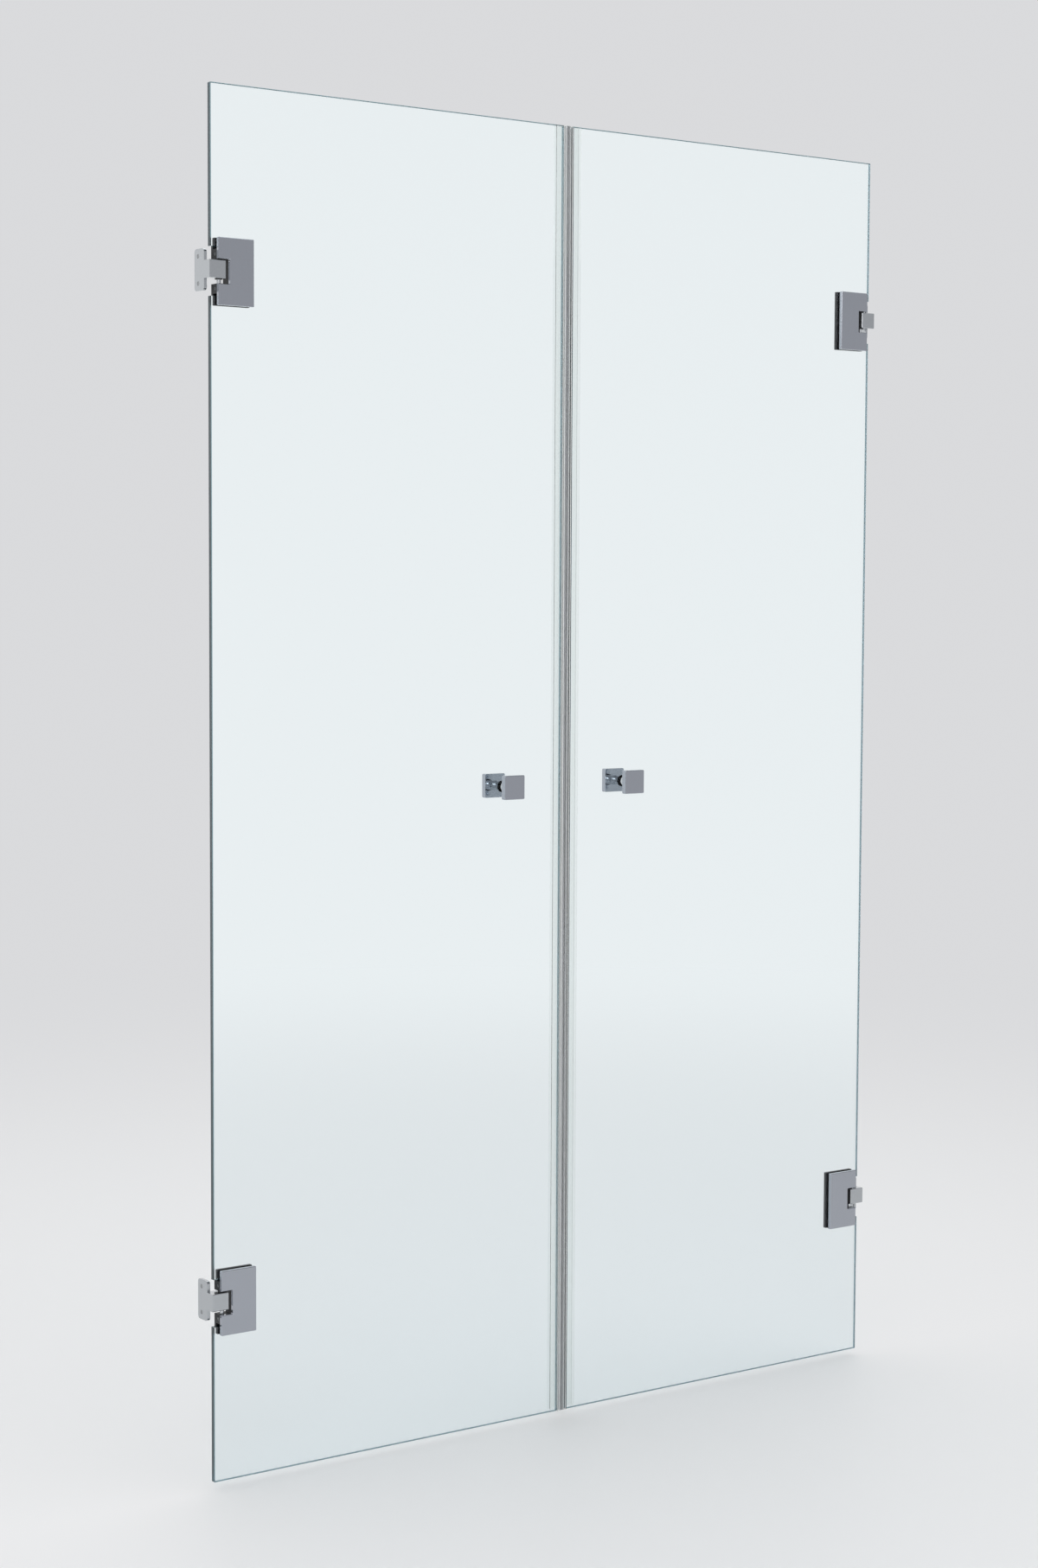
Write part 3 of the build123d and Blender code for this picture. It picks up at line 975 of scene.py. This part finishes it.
def room_tone_group(settings):
    """The room's colour in each direction: even through glass, shaped in gloss, plain to the camera."""
    name = "Room Tone"
    if name in bpy.data.node_groups:
        return bpy.data.node_groups[name]
    tree, source, result = new_group(
        name,
        (
            ("Direction", "NodeSocketVector", None),
            ("Gloss", "NodeSocketFloat", 0.0),
            ("Camera", "NodeSocketFloat", 0.0),
        ),
        (("Colour", "NodeSocketColor"),),
    )
    parts = add_node(tree, "ShaderNodeSeparateXYZ", (-700, 0))
    link(tree, source, "Direction", parts, 0)
    front = add_node(
        tree, "ShaderNodeMapRange", (-500, 100), {"interpolation_type": "SMOOTHSTEP"},
        {"From Min": 0.4, "From Max": -0.5},
    )
    link(tree, parts, "Y", front, "Value")
    high = add_node(
        tree, "ShaderNodeMapRange", (-500, -200), {"interpolation_type": "SMOOTHSTEP"},
        {"From Min": 0.0, "From Max": 0.5},
    )
    link(tree, parts, "Z", high, "Value")
    upper = blend(tree, high.outputs[0], settings.front_colour, settings.ceiling_colour, (-250, -100))
    shaped = blend(tree, front.outputs[0], settings.back_colour, upper, (0, 0))
    clear = blend(tree, source.outputs["Gloss"], settings.back_colour, shaped, (250, 0))
    seen = blend(tree, source.outputs["Camera"], clear, settings.backdrop_colour, (500, 0))
    tree.links.new(seen, result.inputs["Colour"])
    return tree


def place_room_tone(tree, settings, path, direction, at):
    """The room's colour in a direction, for the kind of ray that the Light Path node tells."""
    tone = place_group(tree, room_tone_group(settings), at, {})
    tree.links.new(direction, tone.inputs["Direction"])
    link(tree, path, "Glossy Depth", tone, "Gloss")
    link(tree, path, "Is Camera Ray", tone, "Camera")
    return tone


def floor_material(settings):
    """A pale floor that runs into the room's colour away from the door."""
    material, tree, shader, output = new_material("studio_floor")
    shader.inputs["Base Color"].default_value = rgba(settings.floor_colour)
    shader.inputs["Roughness"].default_value = 0.55
    place = piece_coordinates(tree, (-900, -300))
    distance = add_node(tree, "ShaderNodeVectorMath", (-700, -200), {"operation": "LENGTH"})
    link(tree, place, "Object", distance, 0)
    fade = add_node(
        tree, "ShaderNodeMapRange", (-500, -200), {"interpolation_type": "SMOOTHSTEP"},
        {"From Min": FLOOR_PLAIN_TO, "From Max": FLOOR_GONE_BY},
    )
    link(tree, distance, "Value", fade, "Value")
    outwards = add_node(tree, "ShaderNodeVectorMath", (-700, -500), {"operation": "NORMALIZE"})
    link(tree, place, "Object", outwards, 0)
    path = add_node(tree, "ShaderNodeLightPath", (-500, -700))
    tone = place_room_tone(tree, settings, path, outwards.outputs[0], (-200, -500))
    room = add_node(tree, "ShaderNodeEmission", (300, -400), None, {"Strength": 1.0})
    link(tree, tone, "Colour", room, "Color")
    mixed = add_node(tree, "ShaderNodeMixShader", (600, 0))
    link(tree, fade, "Result", mixed, 0)
    link(tree, shader, "BSDF", mixed, 1)
    link(tree, room, "Emission", mixed, 2)
    link(tree, mixed, "Shader", output, "Surface")
    return material


def studio_world(settings):
    """Even light all round, and the room's plain colours where the camera, gloss and glass look."""
    world = bpy.data.worlds.new("studio_world")
    world.use_nodes = True
    tree = world.node_tree
    tree.nodes.clear()
    output = add_node(tree, "ShaderNodeOutputWorld", (900, 0))
    light = add_node(
        tree, "ShaderNodeBackground", (400, 200), None,
        {"Color": (1.0, 1.0, 1.0, 1.0), "Strength": settings.ambient},
    )
    direction = add_node(tree, "ShaderNodeTexCoord", (-400, -200))
    path = add_node(tree, "ShaderNodeLightPath", (-400, 300))
    tone = place_room_tone(tree, settings, path, direction.outputs["Generated"], (0, -100))
    room = add_node(tree, "ShaderNodeBackground", (400, 0), None, {"Strength": 1.0})
    link(tree, tone, "Colour", room, "Color")
    mixed = add_node(tree, "ShaderNodeMixShader", (700, 0))
    link(tree, path, "Is Diffuse Ray", mixed, 0)
    link(tree, room, "Background", mixed, 1)
    link(tree, light, "Background", mixed, 2)
    link(tree, mixed, "Shader", output, "Surface")
    return world


def area_lamp(name, place, target, width, power):
    """A large soft lamp aimed at a point."""
    data = bpy.data.lights.new(name, "AREA")
    data.shape = "SQUARE"
    data.size = width
    data.energy = power
    lamp = bpy.data.objects.new(name, data)
    lamp.location = place
    lamp.rotation_mode = "QUATERNION"
    lamp.rotation_quaternion = (Vector(target) - Vector(place)).to_track_quat("-Z", "Y")
    bpy.context.scene.collection.objects.link(lamp)
    return lamp


def studio_camera(settings):
    """The camera, from its place, its lens and the three angles of its view."""
    yaw, pitch, roll = settings.camera_yaw, settings.camera_pitch, settings.camera_roll
    forward = Vector(
        (math.sin(yaw) * math.cos(pitch), math.cos(yaw) * math.cos(pitch), math.sin(pitch))
    )
    level = Vector((math.cos(yaw), -math.sin(yaw), 0.0))
    upward = level.cross(forward)
    right = level * math.cos(roll) + upward * math.sin(roll)
    up = upward * math.cos(roll) - level * math.sin(roll)
    data = bpy.data.cameras.new("studio_camera")
    data.lens = settings.lens
    data.sensor_width = SENSOR_WIDTH
    data.clip_start = 0.05
    camera = bpy.data.objects.new("studio_camera", data)
    turn = Matrix((right, up, -forward)).transposed().to_4x4()
    camera.matrix_world = Matrix.Translation(settings.camera_place) @ turn
    bpy.context.scene.collection.objects.link(camera)
    return camera


class SHOWERDOOR_OT_studio(bpy.types.Operator):
    """Build the floor, background, lamps and camera"""

    bl_idname = "shower_door.studio"
    bl_label = "Studio"
    bl_options = {"REGISTER", "UNDO"}

    def execute(self, context):
        settings = door_settings(context)
        studio = settings.studio
        low, high = cad_box
        middle = (low + high) / 2
        mesh = bmesh.new()
        bmesh.ops.create_circle(mesh, cap_ends=True, segments=96, radius=FLOOR_RADIUS)
        data = bpy.data.meshes.new("studio_floor")
        mesh.to_mesh(data)
        mesh.free()
        data.materials.append(floor_material(studio))
        floor = bpy.data.objects.new("studio_floor", data)
        floor.location = (0.0, 0.0, low.z - studio.floor_gap)
        context.scene.collection.objects.link(floor)
        area_lamp("key_lamp", KEY_LAMP_PLACE, middle, KEY_LAMP_WIDTH, studio.key_power)
        area_lamp("top_lamp", TOP_LAMP_PLACE, middle, TOP_LAMP_WIDTH, studio.top_power)
        context.scene.world = studio_world(studio)
        context.scene.view_settings.view_transform = "Standard"
        context.scene.camera = studio_camera(studio)
        return {"FINISHED"}


PIECE_OPERATORS = (
    SHOWERDOOR_OT_glass_leaves,
    SHOWERDOOR_OT_meeting_seals,
    SHOWERDOOR_OT_knobs,
    SHOWERDOOR_OT_clamp_plates,
    SHOWERDOOR_OT_wall_brackets,
    SHOWERDOOR_OT_pivots,
    SHOWERDOOR_OT_gaskets,
    SHOWERDOOR_OT_hinge_screws,
    SHOWERDOOR_OT_wall_screws,
    SHOWERDOOR_OT_studio,
)


class SHOWERDOOR_PT_sidebar(bpy.types.Panel):
    """Buttons for every piece of the door, with the settings below them."""

    bl_idname = "SHOWERDOOR_PT_sidebar"
    bl_label = "Double Shower Door"
    bl_space_type = "VIEW_3D"
    bl_region_type = "UI"
    bl_category = PANEL_TAB

    def draw(self, context):
        layout = self.layout
        column = layout.column(align=True)
        for operator in PIECE_OPERATORS:
            column.operator(operator.bl_idname)
        settings = door_settings(context)
        for part in ("glass", "steel", "soft", "screws", "studio"):
            box = layout.box()
            box.label(text=part.title())
            group = getattr(settings, part)
            for name in group.__annotations__:
                box.prop(group, name)


CLASSES = (
    GlassSettings,
    SteelSettings,
    SoftSettings,
    ScrewSettings,
    StudioSettings,
    DoorSettings,
    *PIECE_OPERATORS,
    SHOWERDOOR_PT_sidebar,
)


def register():
    """Registers the classes and the door's settings."""
    for item in CLASSES:
        bpy.utils.register_class(item)
    bpy.types.Scene.shower_door = PointerProperty(type=DoorSettings)


def unregister():
    """Takes the settings and the classes away again."""
    del bpy.types.Scene.shower_door
    for item in reversed(CLASSES):
        bpy.utils.unregister_class(item)


def main():
    """Dresses the door and builds the studio."""
    register()
    bpy.ops.shower_door.glass_leaves()
    bpy.ops.shower_door.meeting_seals()
    bpy.ops.shower_door.knobs()
    bpy.ops.shower_door.clamp_plates()
    bpy.ops.shower_door.wall_brackets()
    bpy.ops.shower_door.pivots()
    bpy.ops.shower_door.gaskets()
    bpy.ops.shower_door.hinge_screws()
    bpy.ops.shower_door.wall_screws()
    bpy.ops.shower_door.studio()


if __name__ == "__main__":
    main()
